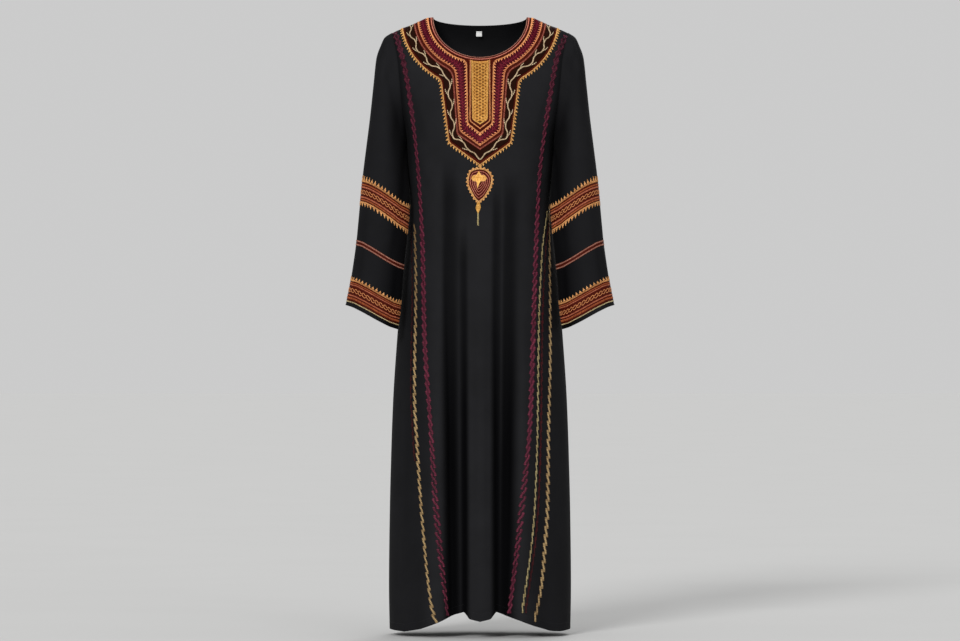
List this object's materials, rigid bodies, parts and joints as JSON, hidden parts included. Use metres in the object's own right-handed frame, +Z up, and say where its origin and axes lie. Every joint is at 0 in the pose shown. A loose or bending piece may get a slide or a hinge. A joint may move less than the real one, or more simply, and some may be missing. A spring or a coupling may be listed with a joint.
{
  "type": "long-sleeved abaya",
  "caption": "Full-length black abaya with long wide-cuffed sleeves, a round neck, an embroidered pointed yoke and embroidered sleeve bands, hollow as worn.",
  "frame": {"origin": "midway between the two high shoulder points, where the wearer's shoulders carry the gown", "axes": "+Z up, the front faces -Y, +X is the wearer's left"},
  "size_m": [0.6092, 0.3272, 1.4009],
  "materials": {
    "black_crepe": "matt crepe with a faint sheen",
    "gold_embroidery": "dense thread embroidery, gold and orange with maroon",
    "rust_embroidery": "dense thread embroidery, rust and gold",
    "label_cloth": "matt woven tape"
  },
  "bodies": {
    "root": {"front_panel": "black_crepe", "back_panel": "black_crepe", "sleeve_left": "black_crepe", "sleeve_right": "black_crepe", "yoke_embroidery": "gold_embroidery", "pendant_embroidery": "gold_embroidery", "upper_band_left": "rust_embroidery", "upper_band_right": "rust_embroidery", "stripe_left": "rust_embroidery", "stripe_right": "rust_embroidery", "cuff_band_left": "rust_embroidery", "cuff_band_right": "rust_embroidery", "size_label": "label_cloth"}
  },
  "joints": []
}
